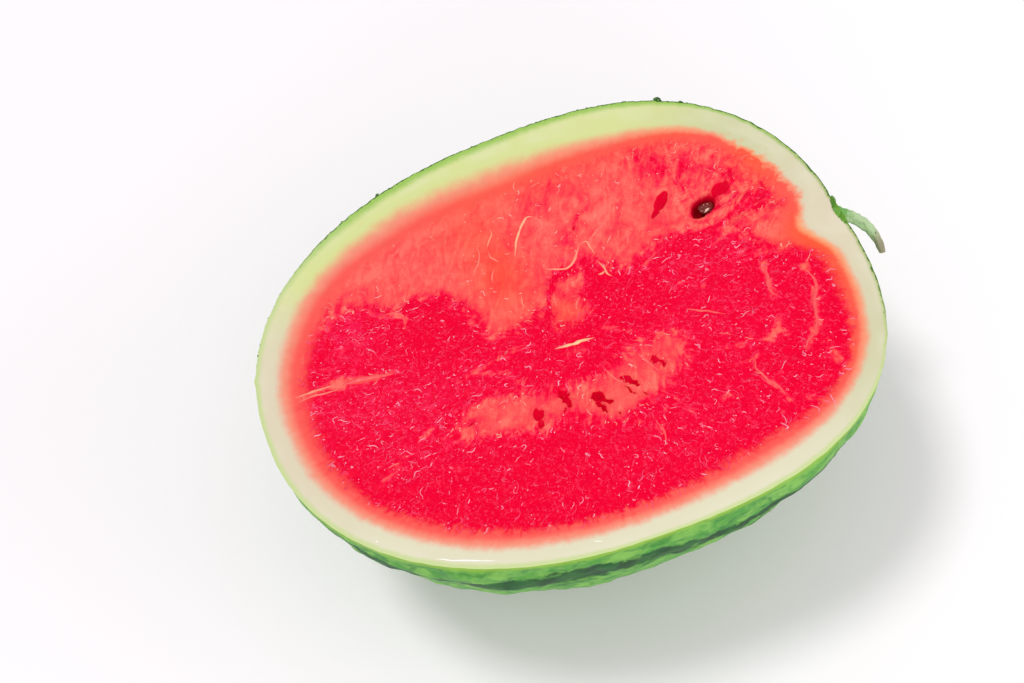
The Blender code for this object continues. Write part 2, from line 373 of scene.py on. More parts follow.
def makePiece(name, points, faces, materials, worn=None, fields=None, uv=None, sharp=50, tints=None):
    # a new piece from points and faces: worn says which material each face has, fields and tints are
    # values and colours at the points for the materials to read, and uv is a map for each face corner
    mesh = bpy.data.meshes.new(name)
    mesh.from_pydata(toFrame(points).tolist(), [], faces.tolist() if hasattr(faces, "tolist") else faces)
    for material in materials:
        mesh.materials.append(material)
    if worn is not None:
        mesh.polygons.foreach_set("material_index", worn.astype(np.int32))
    for field, values in (fields or {}).items():
        mesh.attributes.new(field, "FLOAT", "POINT").data.foreach_set("value", values.astype(np.float32))
    for field, values in (tints or {}).items():
        mesh.color_attributes.new(field, "FLOAT_COLOR", "POINT").data.foreach_set(
            "color", values.astype(np.float32).ravel())
    if uv is not None:
        mesh.uv_layers.new(name="OFBake").uv.foreach_set("vector", uv.astype(np.float32).ravel())
    mesh.shade_smooth()
    mesh.set_sharp_from_angle(angle=np.radians(sharp))
    mesh.update()
    piece = bpy.data.objects.new(name, mesh)
    bpy.context.scene.collection.objects.link(piece)
    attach(piece, "root")
    return piece


def tubePoints(path, radius, sides, flat=1.0, up=(0, 0, 1)):
    # rings round each path: a circle in the plane across the path, squashed by flat towards up
    along = np.gradient(path, axis=-2)
    along /= np.linalg.norm(along, axis=-1, keepdims=True)
    side = np.cross(along, up)
    side /= np.linalg.norm(side, axis=-1, keepdims=True)
    top = np.cross(side, along)
    turn = np.arange(sides) * 2 * np.pi / sides
    ring = (np.cos(turn)[:, None] * side[..., None, :] + flat * np.sin(turn)[:, None] * top[..., None, :])
    return path[..., None, :] + radius[..., None, None] * ring


def tubeFaces(count, steps, sides):
    # quads between neighbouring rings of each tube
    tube, step, side = np.meshgrid(np.arange(count), np.arange(steps - 1), np.arange(sides), indexing="ij")
    ahead = (side + 1) % sides
    start = (tube * steps + step) * sides
    quads = np.stack([start + side, start + sides + side, start + sides + ahead, start + ahead], -1)
    return quads.reshape(-1, 4)


def tubeCaps(count, steps, sides):
    # one face over each end of each tube
    first = np.arange(count)[:, None] * steps * sides
    ring = np.arange(sides)
    return np.concatenate([first + ring, first + (steps - 1) * sides + ring[::-1]])


def tubes(count, steps, sides):
    # the sides and caps of each tube, as lists
    return tubeFaces(count, steps, sides).tolist() + tubeCaps(count, steps, sides).tolist()


# shader helpers

class Wire:
    # a socket of a material; + - * / and abs on it add Math nodes
    def __init__(self, tree, socket=None):
        self.tree = tree
        self.socket = socket

    def node(self, kind, settings=None, inputs=None, out=0):
        made = self.tree.nodes.new("ShaderNode" + kind)
        settings = dict(settings or {})
        for number, (position, tint) in enumerate(settings.pop("stops", ())):
            elements = made.color_ramp.elements
            stop = elements[number] if number < 2 else elements.new(position)
            stop.position, stop.color = position, tint
        for name, value in settings.items():
            setattr(made, name, value)
        for key, value in (inputs or {}).items():
            if isinstance(value, Wire):
                self.tree.links.new(value.socket, made.inputs[key])
            else:
                made.inputs[key].default_value = value
        return Wire(self.tree, made.outputs[out])

    def maths(self, operation, *values):
        return self.node("Math", {"operation": operation}, dict(enumerate(values)))

    def vector(self, operation, *values, out=0):
        return self.node("VectorMath", {"operation": operation}, dict(enumerate((self, *values))), out)

    def __add__(self, other):
        return self.maths("ADD", self, other)

    def __sub__(self, other):
        return self.maths("SUBTRACT", self, other)

    def __rsub__(self, other):
        return self.maths("SUBTRACT", other, self)

    def __mul__(self, other):
        return self.maths("MULTIPLY", self, other)

    def __truediv__(self, other):
        return self.maths("DIVIDE", self, other)

    def __abs__(self):
        return self.maths("ABSOLUTE", self)

    __radd__ = __add__
    __rmul__ = __mul__


def colour(red, green, blue):
    # an sRGB colour, each part 0 to 255, as the linear values that a shader takes
    parts = np.array([red, green, blue]) / 255
    linear = np.where(parts <= 0.04045, parts / 12.92, ((parts + 0.055) / 1.055) ** 2.4)
    return (*linear.tolist(), 1.0)


def startMaterial(name):
    # a new material, its shader, and the place in millimetres from the frame's origin
    material = bpy.data.materials.new(name)
    material.use_nodes = True
    shader = material.node_tree.nodes["Principled BSDF"]
    place = Wire(material.node_tree).node("TexCoord", out="Object")
    return material, shader, scaled(place, 1000.0)


def feed(shader, **values):
    # links or sets the shader's sockets; a name's underscores stand for spaces
    for name, value in values.items():
        socket = shader.inputs[name.replace("_", " ")]
        if isinstance(value, Wire):
            value.tree.links.new(value.socket, socket)
        else:
            socket.default_value = value


def field(wire, name):
    return wire.node("Attribute", {"attribute_name": name}, out="Fac")


def noise(place, size, detail=2.0, roughness=0.5, distortion=0.0, out="Fac"):
    # soft noise with blobs about size millimetres across
    return place.node("TexNoise", {}, {
        "Vector": place, "Scale": 1 / size, "Detail": detail, "Roughness": roughness,
        "Distortion": distortion}, out)


def ease(value, low, high):
    # 0 below low, 1 above high, and a smooth step between
    return value.node("MapRange", {"interpolation_type": "SMOOTHSTEP"}, {
        "Value": value, "From Min": low, "From Max": high})


def mix(share, first, second):
    return share.node("Mix", {"data_type": "RGBA"}, {0: share, 6: first, 7: second}, out=2)


def bump(height, strength, distance):
    # height in millimetres
    return height.node("Bump", {}, {"Strength": strength, "Distance": distance * mm, "Height": height})


def scaled(place, amount):
    return place.node("VectorMath", {"operation": "SCALE"}, {0: place, "Scale": amount})


def stretched(place, x, y, z):
    return place.vector("MULTIPLY", (x, y, z))


def turned(place, angle, scale):
    # the place as seen by a pattern that is turned about z and drawn out by scale
    return place.node("Mapping", {"vector_type": "TEXTURE"}, {
        "Vector": place, "Rotation": (0, 0, angle), "Scale": scale})


print("melon: flesh and rind material")
fleshPaint = dict(
    # from deep crimson to pale salmon
    tones=[
        (0.0, colour(240, 0, 50)), (0.22, colour(245, 6, 60)), (0.42, colour(249, 42, 74)),
        (0.64, colour(251, 72, 80)), (0.84, colour(252, 96, 90)), (1.0, colour(253, 114, 102)),
    ],
    thread=colour(253, 78, 118), fibrous=colour(247, 34, 92), orange=colour(255, 88, 54),
    # the dark red of the pockets' deep parts is painted shade
    shadedPocket=colour(160, 0, 20), shallowPocket=colour(228, 0, 44),
    salmonEdge=colour(250, 94, 86), peachEdge=colour(244, 146, 122),
    orangeEdge=colour(254, 92, 60), orangePeach=colour(248, 160, 112),
    rindLight=colour(236, 236, 212), skinLine=colour(76, 116, 46),
    stemSeat=colour(116, 168, 62), stemSeatDark=colour(78, 128, 44),
    # the rind is ivory on the near side and greener on the far side, duller at both ends, and darker on the
    # shoulders beside the stem as painted shade; its outermost part is greener still, most towards the far
    # side
    rindNear=colour(226, 222, 192), rindFar=colour(216, 224, 152), rindEnd=colour(222, 212, 184),
    rindPaintedShade=colour(206, 206, 166),
    outerNear=colour(202, 218, 154), outerFar=colour(160, 200, 98), outerStem=colour(164, 182, 112),
    # the middle that the rays spread from, and how fast they change round it and outwards
    rayMiddle=(8.0, -8.0), rayTurn=62.0, rayOut=0.26,
    # sizes of the noises' blobs
    rayGrain=2.4, streakGrain=4.2, creaseGrain=4.6, fineGrain=1.0, midGrain=2.8, wideGrain=11.0,
    cloudGrain=16.0, poreGrain=1.8,
)


def threads(place, size, shift):
    # thin curled lines: where soft noise crosses its middle value, broken into dashes by other noise
    moved = place.vector("ADD", shift)
    line = ease(abs(noise(moved, size, 1, 0.5, 0.8) - 0.5), 0.050, 0.014)
    return line * ease(noise(moved, size * 0.8, 1), 0.50, 0.60)


def blended(first, second, share):
    # the first colour turning into the second by a share for each point
    return np.asarray(first) * (1 - share[:, None]) + np.asarray(second) * share[:, None]


def rindTints(around):
    # the colours of the rind and of its outermost part by the angle round from the stem: near turns to
    # far by the angle's sine, then the ends by its cosine, and the shoulders' painted shade and the stem by
    # bell shapes
    paint = fleshPaint
    fromStem = np.abs(np.degrees(np.arctan2(np.sin(around), np.cos(around))))
    tint = blended(paint["rindNear"], paint["rindFar"], easeBetween(np.sin(around), -0.1, 0.65))
    tint = blended(tint, paint["rindEnd"], easeBetween(np.abs(np.cos(around)), 0.8, 1.0))
    # painted shade on the shoulders beside the stem
    tint = blended(tint, paint["rindPaintedShade"], 0.8 * np.exp(-((fromStem - 30) / 16) ** 2))
    outerShare = easeBetween(np.cos(around - np.radians(70)), 0.1, 0.7)
    outer = blended(paint["outerNear"], paint["outerFar"], outerShare)
    return tint, blended(outer, paint["outerStem"], np.exp(-(fromStem / 25) ** 2))


def fleshAndRindMaterial():
    # the flesh takes its tone from its paleness, stirred by noise drawn out along rays from the seed row
    # in the crimson and on a slant in the coral; the rind is mixed in by its distance from the flesh
    paint = fleshPaint
    material, shader, place = startMaterial("fleshAndRind")
    depth, soft, width, rimIn, pale, fibrous, wrinkles, warm, hollow, reach = (
        field(place, name) for name in (
            "fleshDepth", "softEdge", "reddening", "rimDistance", "paleness", "fibrous", "wrinkles",
            "orange", "pocketHollow", "pocketReach"))
    centred = place.vector("SUBTRACT", (*paint["rayMiddle"], cutHeight))
    outward = place.node("CombineXYZ", {}, {2: centred.vector("LENGTH", out="Value") * paint["rayOut"]})
    ray = scaled(centred.vector("NORMALIZE"), paint["rayTurn"]).vector("ADD", outward)
    rays = noise(ray, paint["rayGrain"], 4, 0.6, 0.5)
    streaks = noise(turned(place, -0.42, (1, 2.6, 1)), paint["streakGrain"], 4, 0.6, 1.3)
    creases = noise(turned(place, 0.5, (2.2, 1, 1)), paint["creaseGrain"], 4, 0.6, 2.2)
    fine = noise(place, paint["fineGrain"], 3, 0.6, 0.6)
    mid = noise(place, paint["midGrain"], 4, 0.6, 0.9)
    wide = noise(place, paint["wideGrain"], 3, 0.55, 0.6)
    threadiness = threads(place, 2.3, (0, 0, 0)) + threads(place, 1.7, (31, 7, 11)) * 0.8
    # the same noises as swings about zero
    raySwing, streakSwing, creaseShadeSwing, fineSwing, midSwing, wideSwing = (
        each - 0.5 for each in (rays, streaks, creases, fine, mid, wide))

    # tone of the flesh, stirred most where one zone passes into the next
    coral = ease(pale, 0.15, 0.62)
    crimson = 1 - coral
    border = ease(pale, 0.02, 0.22) * ease(pale, 0.80, 0.45)
    tone = pale + raySwing * crimson * (0.5 + border * 2.8) + midSwing * (0.35 + border * 1.2)
    tone = tone + wideSwing * (coral * 0.9 + border) + streakSwing * (coral + border * 1.4)
    # in the wrinkled patch the creases noise also stirs the tone: painted shade and light of the folds
    tone = tone + creaseShadeSwing * wrinkles * 1.9 + fineSwing * (0.2 + border * 0.3) - 0.03
    flesh = tone.node("ValToRGB", {"stops": paint["tones"]}, {0: tone})
    flesh = mix(fibrous * ease(mid, 0.40, 0.62) * crimson * 0.5, flesh, paint["fibrous"])
    flesh = mix(threadiness * (0.34 + fibrous * 0.3) * (1 - coral * 0.7), flesh, paint["thread"])
    flesh = mix(warm * ease(tone, 0.1, 0.5) * 0.75, flesh, paint["orange"])

    # the flesh's border: salmon, then peach, then the pale rind, the green under the skin and the
    # skin's cut edge; torn at the upper right and feathered along the rays elsewhere
    feather = raySwing * 6.0 + midSwing * 5.0 + fineSwing * 1.4
    depth = depth + field(place, "tornEdge") * (noise(place, 5.0, 3, 0.55, 0.5) - 0.5) * 13.0
    through = (depth + feather * 0.3) / soft
    redden = (depth + feather * 1.3 - soft) / width
    salmon = mix(warm, paint["salmonEdge"], paint["orangeEdge"])
    peach = mix(warm, paint["peachEdge"], paint["orangePeach"])
    whole = mix(ease(redden, 1.0, 0.0), flesh, salmon)
    whole = mix(ease(through, 1.05, 0.50), whole, peach)
    rind, outer = (place.node("Attribute", {"attribute_name": name}, out="Color")
                   for name in ("rindTint", "rindOuterTint"))
    whole = mix(ease(through + wideSwing * 0.3, 0.62, 0.0), whole, rind)
    cloud = ease(noise(place, paint["cloudGrain"], 3), 0.35, 0.7)
    whole = mix(cloud * ease(depth, 0.0, -4.0) * 0.25, whole, paint["rindLight"])
    under = rimIn / field(place, "greenEdge") + midSwing * 0.4 + wideSwing * 0.3
    whole = mix(ease(under, 1.15, 0.25), whole, outer)
    frayedRim = rimIn + midSwing * 2.6 + fineSwing * 0.8
    whole = mix(ease(frayedRim, 0.75, 0.35) * field(place, "farRim"), whole, paint["skinLine"])
    seat = field(place, "stemSeat") + midSwing * 0.5 + fineSwing * 0.25
    seatColour = mix(ease(streaks, 0.4, 0.6), paint["stemSeat"], paint["stemSeatDark"])
    whole = mix(ease(seat, 0.38, 0.52), whole, seatColour)

    # pockets: wet crimson where shallow, turning dark red where deep as painted shade in the hollow
    # painted shade: the deeper the hollow, the darker the red
    inside = mix(ease(hollow + fineSwing * 0.8, 1.5, 4.2), paint["shallowPocket"], paint["shadedPocket"])
    whole = mix(ease(reach + fineSwing * 0.16, 0.0, 0.10), whole, inside)

    inFlesh = ease(through, 0.5, 1.2)
    rough = 0.46 - inFlesh * 0.12 + fineSwing * 0.3
    relief = (fine * 0.1 + mid * 0.4 + streaks * coral + threadiness * 0.12 + rays * 0.3) * inFlesh
    relief = relief + creases * wrinkles * 1.6 + noise(place, paint["poreGrain"]) * 0.04
    feed(shader, Base_Color=whole, Roughness=rough, Normal=bump(relief, 0.5, 0.4))
    feed(shader, Specular_IOR_Level=0.025)
    return material


print("melon: skin material")
skinPaint = dict(
    light=colour(124, 184, 82), mid=colour(70, 148, 56), deep=colour(40, 116, 50),
    stripe=colour(20, 86, 36), stripeDark=colour(12, 58, 32), nearCut=colour(150, 192, 62),
    stripes=7.0, cell=9.0,
)


def skinMaterial():
    # the angle round the fruit's long axis, warped by noise, gives ragged stripes that run lengthwise;
    # between them darker veins split a mottled green into cells
    paint = skinPaint
    material, shader, place = startMaterial("skin")
    centred = place.vector("SUBTRACT", (melon["midX"], 0, cutHeight))
    across, up = (centred.node("SeparateXYZ", {}, {0: centred}, out=axis) for axis in "YZ")
    down = up * -1
    angle = across.maths("ARCTAN2", across, down) / np.pi
    longways = stretched(place, 0.45, 1, 1)
    wander = (noise(longways, 26, 3) - 0.5) * 0.9 + (noise(place, 6, 4, 0.65) - 0.5) * 0.34
    lane = angle * paint["stripes"] + wander + 0.5
    off = abs(lane.maths("FRACT", lane) - 0.5)
    thick = 0.10 + (noise(longways, 16, 3, 0.6) - 0.5) * 0.26
    stripe = ease(off - thick, 0.075, -0.02)
    warp = scaled(noise(place, 7, 3, 0.6, out="Color"), 5.0)
    cells = place.node("TexVoronoi", {"feature": "DISTANCE_TO_EDGE"}, {
        "Vector": stretched(place, 0.6, 1, 1).vector("ADD", warp), "Scale": 1 / paint["cell"]},
        out="Distance")
    blotch = noise(place, 11, 4, 0.6, 0.5)
    veins = ease(cells, 0.15, 0.0) * ease(noise(place, 8, 3, 0.6), 0.38, 0.62)
    green = mix(ease(blotch, 0.36, 0.64), paint["mid"], paint["light"])
    green = mix(veins * 0.7, green, paint["deep"])
    green = mix(ease(noise(place, 1.8, 3, 0.6), 0.5, 0.7) * 0.2, green, paint["light"])
    dark = mix(ease(noise(place, 8, 3), 0.4, 0.6), paint["stripe"], paint["stripeDark"])
    whole = mix(stripe * 0.92, green, dark)
    whole = mix(ease(down + (blotch - 0.5) * 5, 5.0, 0.2) * 0.75, whole, paint["nearCut"])
    relief = blotch * 0.6 + noise(place, 0.8) * 0.12 - stripe * 0.15
    rough = 0.42 + (blotch - 0.5) * 0.25
    feed(shader, Base_Color=whole, Roughness=rough, Normal=bump(relief, 0.6, 0.35))
    feed(shader, Specular_IOR_Level=0.06)
    return material


# the half melon: one closed skin of two discs that share the cut's rim

def discGrid(lines):
    # a square grid pulled into a disc: the square ring that a point is on gives its radius, and its
    # place along that ring gives its angle
    a, b = np.meshgrid(lines, lines, indexing="ij")
    wide = np.abs(a) >= np.abs(b)
    safe = np.where(wide, a, b)
    safe = np.where(safe == 0, 1, safe)
    angle = np.where(wide, np.pi / 4 * b / safe, np.pi / 2 - np.pi / 4 * a / safe)
    radius = np.where(wide, a, b)
    x, y = radius * np.cos(angle), radius * np.sin(angle)
    return np.hypot(x, y), np.arctan2(y, x) % (2 * np.pi)


def gridLines():
    # even lines across, then closer ones that run round just inside the rim
    rimLines = 1 - np.array(melon["rimLines"]) / (halfLength * 0.91)
    inner = np.linspace(-1, 1, melon["gridLines"]) * (rimLines[0] - 0.012)
    outer = np.append(rimLines, 1)
    return np.concatenate([-outer[::-1], inner, outer])


# marks on the rim: angle in degrees, half width and how far out; dents beside the stem, a nub at the
# blossom end and a broad flat on the upper right
rimMarks = [
    (5.4, 2.2, -0.7), (-1.6, 2.0, -0.4), (168.0, 2.0, 0.6), (36.0, 36.0, -1.3),
]


def rimPlace(angle):
    # a point on the rim, at even steps of the walk round it, with its marks and the knife's raggedness
    share = angle / (2 * np.pi)
    place = np.stack([np.interp(share, rim["share"], rim["place"][:, k]) for k in (0, 1)], -1)
    out = place / np.linalg.norm(place, axis=-1, keepdims=True)
    polar = np.degrees(np.arctan2(place[..., 1], place[..., 0]))
    far = easeBetween(place[..., 1], 10, 60)
    everywhere, farSide = melon["rimSwells"]
    push = swell(place, *everywhere) + far * swell(place, *farSide)
    for markAngle, spread, reach in rimMarks:
        off = (polar - markAngle + 180) % 360 - 180
        push = push + reach * np.exp(-(np.radians(off) * np.linalg.norm(place, axis=-1) / spread) ** 2)
    return place, out * push[..., None]


def buildMelon():
    lines = gridLines()
    count = len(lines)
    radius, angle = discGrid(lines)
    place, push = rimPlace(angle)

    # top: the cut face, let down a little inside the rim, its lines drawn closer round the pockets
    even = place * radius[..., None]
    flat = even.copy()
    for midX, midY, sizeX, sizeY, amount in crowding:
        away = even - (midX, midY)
        pull = amount * np.exp(-((away / (sizeX, sizeY)) ** 2).sum(-1) ** 1.5)
        flat -= pull[..., None] * away
    flat += push * easeBetween(radius, melon["marksFrom"], 1)[..., None]
    x, y = flat[..., 0], flat[..., 1]
    rimIn = rimDistance(*even.transpose(2, 0, 1))
    height = faceHeight(x, y) - melon["faceDrop"] * (1 - easeBetween(rimIn, 0, melon["rimRise"]))
    height += swell(flat, *melon["faceWarp"])
    top = np.stack([x, y, height], -1)

    # bottom: the same discs, spread by a sine so that they crowd evenly down the side; the depth is that
    # of a half ellipse across the fruit
    spread = np.sin(radius * np.pi / 2)
    under = place * spread[..., None]
    u = under[..., 0] / halfLength
    width = np.maximum(halfWidthAt(u), 1e-6)
    down = -halfDepthAt(u) * np.sqrt(np.clip(1 - (under[..., 1] / width) ** 2, 0, 1))
    skin = np.concatenate([under, down[..., None]], -1)
    normal = skin / np.array([halfLength, melon["halfWidth"], melon["halfDepth"]]) ** 2
    normal /= np.maximum(np.linalg.norm(normal, axis=-1, keepdims=True), 1e-9)
    free = easeBetween(-down, 0.5, 9) * easeBetween(melon["halfDepth"] + down, 1.5, 14)
    swells = sum(swell(skin, *each) for each in melon["skinSwells"])
    skin = skin + normal * (swells * free)[..., None]
    skin[..., :2] += push * np.exp(-(down / 7.0) ** 2)[..., None]
    skin[..., 2] = np.maximum(skin[..., 2], -cutHeight)

    # both discs share the rim, so the bottom's rim points are the top's
    inner = np.zeros((count, count), bool)
    inner[1:-1, 1:-1] = True
    topIndex = np.arange(count * count).reshape(count, count)
    lowIndex = topIndex.copy()
    lowIndex[inner] = count * count + np.arange(inner.sum())
    points = np.concatenate([top.reshape(-1, 3), skin[inner]])

    def quads(index):
        return np.stack([index[:-1, :-1], index[1:, :-1], index[1:, 1:], index[:-1, 1:]], -1).reshape(-1, 4)

    faces = np.concatenate([quads(topIndex), quads(lowIndex)[:, ::-1]])
    worn = np.repeat([0, 1], len(faces) // 2)

    # the map: the cut face above, the skin below it
    across = np.linspace(0.004, 0.996, count)
    faceMap = np.stack(np.meshgrid(across, 0.356 + across * 0.64, indexing="ij"), -1)
    skinMap = np.stack(np.meshgrid(across, across * 0.346, indexing="ij"), -1)
    uv = np.concatenate([
        faceMap.reshape(-1, 2)[quads(topIndex)], skinMap.reshape(-1, 2)[quads(topIndex)][:, ::-1]])

    every = points[:, 0], points[:, 1]
    around = np.arctan2(points[:, 1], points[:, 0])
    fields = dict(
        rimDistance=np.concatenate([rimIn.ravel(), np.zeros(inner.sum())]),
        fleshDepth=fleshDepth(*every),
        paleness=paleness(*every),
        pocketHollow=pocketHollow(*every),
        pocketReach=pocketReach(*every),
        farRim=easeBetween(every[1] + 0.6 * every[0], 0, 50),
    )
    for name in ("orange", "wrinkles", "fibrous", "tornEdge", "stemSeat"):
        fields[name] = patches(*every, flesh[name])
    for name in ("softEdge", "reddening", "greenEdge"):
        fields[name] = roundTable(around, melon[name])
    tints = dict(zip(("rindTint", "rindOuterTint"), rindTints(around)))
    piece = makePiece("melonHalf", points, faces, [fleshAndRindMaterial(), skinMaterial()],
                      worn, fields, uv, tints=tints)
    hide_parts("half_melon")


print("melon: shape")
buildMelon()


# fibres: hundreds of short curled threads, and pale specks that are painted highlight for wet glints, lying
# half sunk in the flesh

fibre = dict(
    count=3000, steps=7, sides=4, length=(1.4, 6.4), radius=(0.12, 0.23), flat=0.45, curl=1.5,
    headingSpread=0.6, wobble=0.9, glintSpeckShare=0.35, seed=5,
    # how likely a fibre is at each paleness of the flesh
    chance=((0.0, 0.9), (0.3, 0.9), (0.6, 0.34), (1.0, 0.10)),
    # in the crimson from pink to pale, then in the coral from salmon to pale
    shades=[
        (0.0, colour(252, 40, 92)), (0.28, colour(254, 84, 130)), (0.49, colour(255, 190, 214)),
        (0.51, colour(255, 112, 100)), (1.0, colour(255, 200, 184)),
    ],
)


def fibreMaterial():
    material, shader, place = startMaterial("fleshFibre")
    shade = field(place, "shade")
    feed(shader, Base_Color=shade.node("ValToRGB", {"stops": fibre["shades"]}, {0: shade}),
         Roughness=0.3, Specular_IOR_Level=0.4)
    return material


def buildFibres():
    rng = np.random.default_rng(fibre["seed"])
    want, steps, sides = fibre["count"], fibre["steps"], fibre["sides"]
    # scattered over the face, and kept where they fall in the flesh: fewer in the coral, none in a pocket
    x = rng.uniform(-halfLength, halfLength, want * 4)
    y = rng.uniform(-melon["halfWidth"], melon["halfWidth"], want * 4)
    pale = paleness(x, y)
    chance = np.interp(pale, *zip(*fibre["chance"]))
    chance *= 0.55 + 0.45 * easeBetween(ripple(np.stack([x, y], -1), 9.0, 6), -1, 1)
    chance *= 0.6 + 0.8 * patches(x, y, flesh["fibrous"])
    keep = rng.uniform(size=x.size) < chance
    around = np.arctan2(y, x)
    border = roundTable(around, melon["softEdge"]) + 0.4 * roundTable(around, melon["reddening"])
    keep &= fleshDepth(x, y) > border
    keep &= pocketReach(x, y) < -0.35
    x, y = x[keep][:want], y[keep][:want]
    count = x.size
    # heading: away from the seed row, more or less, then bent at an even rate with a wobble
    heading = np.arctan2(y + 12, x - 6) + rng.normal(0, fibre["headingSpread"], count)
    # specks: short pale bits that stand in for wet glints, painted highlight
    glintSpeck = rng.uniform(size=count) < fibre["glintSpeckShare"]
    length = rng.uniform(*fibre["length"], count) * rng.uniform(0.35, 1, count)
    length = np.where(glintSpeck, 0.35 + 0.12 * length, length)
    along = np.linspace(0, 1, steps)
    bend = rng.normal(0, fibre["curl"], (count, 1))
    wobble = rng.normal(0, fibre["wobble"], (count, 1))
    wobble = wobble * np.sin(2 * np.pi * (along + rng.uniform(0, 1, (count, 1))))
    way = heading[:, None] + bend * (along - 0.5) + wobble
    step = length[:, None] / (steps - 1)
    pathX = x[:, None] + np.cumsum(np.cos(way) * step, 1)
    pathY = y[:, None] + np.cumsum(np.sin(way) * step, 1)
    radius = rng.uniform(*fibre["radius"], (count, 1)) * (1 - 0.75 * np.abs(2 * along - 1) ** 3)
    radius *= np.where(glintSpeck, 1.25, 1.0)[:, None]
    pathZ = faceHeight(pathX, pathY) + radius * 0.1
    points = tubePoints(np.stack([pathX, pathY, pathZ], -1), radius, sides, fibre["flat"])
    faces = np.concatenate([tubeFaces(count, steps, sides), tubeCaps(count, steps, sides)])
    # the specks lean to the pale shades: painted highlight
    tone = rng.uniform(0, 1, count) ** np.where(glintSpeck, 0.7, 1.6)
    shade = tone * 0.48 + np.where(paleness(x, y) > 0.34, 0.52, 0)
    shade = np.repeat(shade, steps * sides)
    # the map holds only the shade, which is all that the colour depends on
    low = shade[faces] * 0.98 + np.array([0, 0, 0.004, 0.004])
    uv = np.stack([low, np.tile([0.02, 0.98, 0.98, 0.02], (len(faces), 1))], -1)
    makePiece("fleshFibres", points.reshape(-1, 3), faces, [fibreMaterial()],
              fields=dict(shade=shade), uv=uv, sharp=180)


print("fibres")
buildFibres()


# strands: the few thick pale veins in the flesh: tone, width and the points that each runs through
strands = [
    (1.0, 1.7, [(-6.4, -10.6), (0.0, -11.2), (5.0, -11.6), (10.6, -12.2)]),
    (0.80, 1.3, [(-5.2, 38.6), (-3.0, 44.0), (1.0, 50.6), (6.2, 56.0), (9.0, 55.0)]),
    (0.25, 0.8, [(8.4, 55.4), (11.0, 52.0), (10.4, 46.0)]),
    (0.50, 1.3, [(3.0, 28.6), (8.0, 25.8), (14.6, 24.8), (18.6, 29.0), (22.6, 34.2)]),
    (0.45, 1.0, [(21.0, 33.0), (24.6, 33.6), (25.6, 30.0), (25.4, 25.0)]),
    (0.20, 1.3, [(24.6, 33.4), (28.0, 34.6), (32.0, 37.4), (37.0, 39.0)]),
    (0.60, 1.0, [(25.6, 22.4), (26.6, 18.4), (26.8, 15.0), (28.4, 12.4)]),
    (0.55, 1.0, [(26.8, 16.6), (25.0, 15.6), (23.4, 15.8)]),
    (0.50, 0.9, [(-15.0, 47.6), (-12.4, 51.4), (-10.6, 54.0), (-9.8, 57.8)]),
    (0.35, 0.8, [(-14.8, 47.8), (-14.4, 43.0), (-13.4, 41.0), (-12.4, 39.0)]),
    (0.30, 0.8, [(-27.0, 35.8), (-22.0, 40.6), (-18.8, 46.0), (-17.8, 52.0)]),
    (0.30, 0.8, [(-18.4, 29.8), (-17.2, 34.0), (-15.0, 38.0)]),
    (0.40, 0.8, [(-10.8, 12.6), (-10.2, 16.0), (-9.4, 19.6)]),
    (0.20, 0.9, [(8.6, 2.6), (9.8, 6.0), (12.6, 8.8)]),
    (0.20, 0.8, [(2.0, 7.4), (2.2, 11.6), (3.4, 15.0)]),
    (0.42, 1.3, [(-112.0, 12.0), (-106.0, 11.4), (-100.0, 11.2), (-93.0, 10.4)]),
    (0.26, 0.9, [(-112.0, 9.0), (-105.0, 9.4), (-98.0, 8.4), (-93.0, 8.0)]),
    (0.06, 2.6, [(-91.0, 9.4), (-85.0, 9.0), (-79.0, 7.6), (-70.0, 5.8)]),
    (0.05, 1.2, [(49.4, -15.2), (55.0, -18.4), (63.0, -23.8)]),
    (0.02, 0.9, [(56.6, -31.2), (59.0, -32.4), (61.0, -34.0)]),
    (0.05, 1.1, [(64.6, -47.6), (63.4, -52.0), (65.0, -58.0), (68.0, -64.0), (69.0, -70.4)]),
    (0.02, 1.9, [(100.6, -17.0), (102.0, -25.0), (97.4, -33.0), (94.8, -41.0), (91.0, -47.0)]),
    (0.02, 1.3, [(91.6, -46.4), (88.0, -48.4), (85.0, -51.6)]),
    (0.02, 1.7, [(87.4, -9.0), (85.6, -14.0), (84.0, -19.0), (84.4, -24.0)]),
    (0.05, 0.8, [(18.0, -58.0), (19.6, -63.0), (17.6, -69.0)]),
    (0.12, 0.9, [(9.0, -27.6), (10.4, -32.0), (13.4, -37.6)]),
    (0.12, 0.9, [(23.4, -26.0), (25.6, -31.0), (28.6, -39.0)]),
    (0.02, 0.7, [(-22.0, -17.4), (-24.0, -21.0), (-20.4, -18.2)]),
    (0.06, 0.9, [(-66.0, 34.6), (-61.0, 33.8), (-58.0, 30.6), (-59.0, 26.0)]),
]
strandPaint = dict(
    # the near white is painted highlight, for the glint beads along the rim
    pink=colour(252, 78, 88), straw=colour(255, 200, 150), paintedGlint=colour(255, 255, 246),
    steps=30, sides=8, flat=0.3, halfWidth=0.42, wobble=0.10,
)
# beads along the near rim, near white as painted highlight for the wet rim's glint, drawn the same way
glintLines = [
    (1.0, 0.8, [(-82.0, -78.0), (-74.0, -82.2), (-66.0, -85.8), (-58.0, -89.2)]),
    (1.0, 0.6, [(-23.0, -95.6), (-21.6, -96.4), (-19.8, -97.4)]),
    (0.8, 0.6, [(-99.4, -62.6), (-98.9, -63.0), (-98.4, -63.5)]),
]


